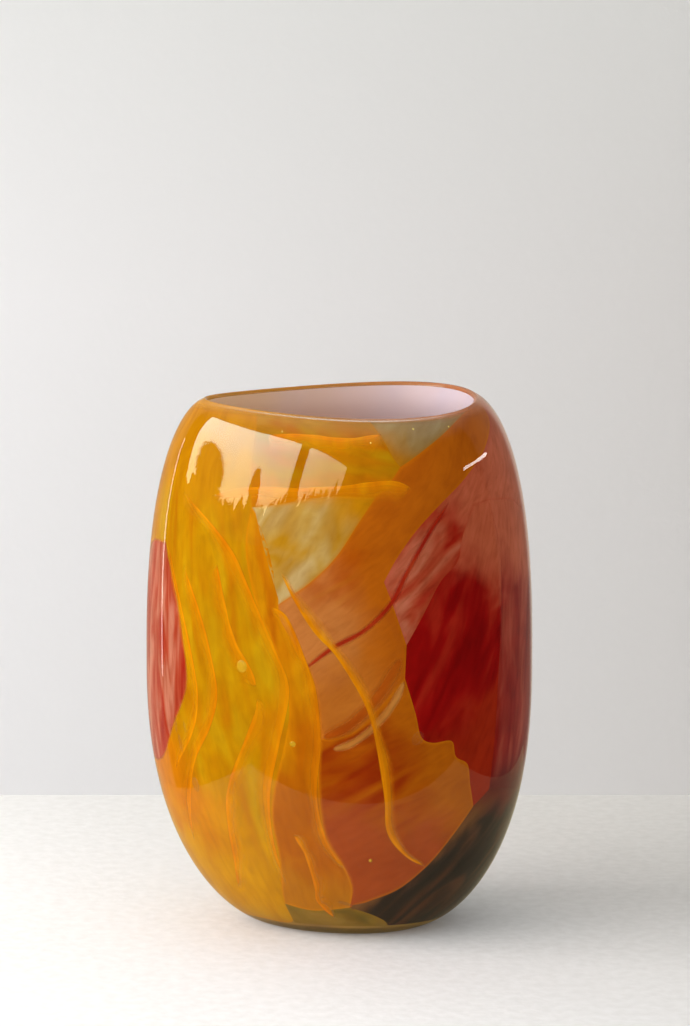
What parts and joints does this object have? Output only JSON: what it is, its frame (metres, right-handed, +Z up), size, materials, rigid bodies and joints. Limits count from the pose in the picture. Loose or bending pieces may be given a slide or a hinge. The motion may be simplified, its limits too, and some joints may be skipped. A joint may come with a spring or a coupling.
{
  "type": "art glass vase",
  "caption": "Rounded oval hand blown vase of cased glass: an opal lining, a mosaic of yellow, orange, red and smoky shards with amber threads, and a clear casing with a teardrop mouth.",
  "frame": {"origin": "centre of the overall box at the height of the flat foot", "axes": "+Z up, X across the broad front, the pointed end of the mouth towards -X, the front of the vase towards -Y"},
  "size_m": [0.1644, 0.1248, 0.2272],
  "materials": {
    "clear_glass": "fire-polished, glossy",
    "opal_glass": "glossy, pinkish white opal",
    "yellow_glass": "transparent golden yellow",
    "khaki_glass": "transparent straw to khaki, streaked",
    "amber_glass": "transparent amber",
    "orange_glass": "transparent orange, streaked",
    "brick_glass": "orange to brick brown, streaked",
    "milky_red_glass": "milky red over opal",
    "deep_red_glass": "deep ruby red, streaked",
    "plum_glass": "brownish plum, streaked",
    "smoke_glass": "smoky grey black",
    "olive_glass": "olive green",
    "cream_glass": "milky cream trail",
    "brown_orange_glass": "dense burnt orange trail",
    "thread_glass": "amber rolled edge"
  },
  "bodies": {
    "root": {"clear_casing": "clear_glass", "opal_liner": "opal_glass", "yellow_shard_left": "yellow_glass", "yellow_shard_top": "yellow_glass", "yellow_shard_back": "yellow_glass", "khaki_shard": "khaki_glass", "khaki_shard_rim": "khaki_glass", "amber_ribbon": "amber_glass", "amber_shard_back": "amber_glass", "orange_sweep_shard": "orange_glass", "orange_shard_back": "orange_glass", "brick_shard": "brick_glass", "milky_red_shard": "milky_red_glass", "deep_red_shard": "deep_red_glass", "red_shard_back": "deep_red_glass", "red_patch_left": "deep_red_glass", "red_trail_back": "deep_red_glass", "plum_shard": "plum_glass", "dark_shard": "smoke_glass", "smoke_shard_back": "smoke_glass", "olive_shard": "olive_glass", "cream_arc": "cream_glass", "milk_trail_back": "cream_glass", "brown_arc": "brown_orange_glass", "red_thread": "brown_orange_glass", "thread_left_1": "thread_glass", "thread_left_2": "thread_glass", "thread_left_3": "thread_glass", "thread_left_4": "thread_glass", "thread_side": "thread_glass", "thread_crossing": "thread_glass", "thread_fold": "thread_glass", "thread_foot": "thread_glass", "thread_upper": "thread_glass", "thread_lip": "thread_glass", "thread_back_1": "thread_glass", "thread_back_2": "thread_glass", "thread_back_3": "thread_glass", "thread_back_4": "thread_glass"}
  },
  "joints": []
}
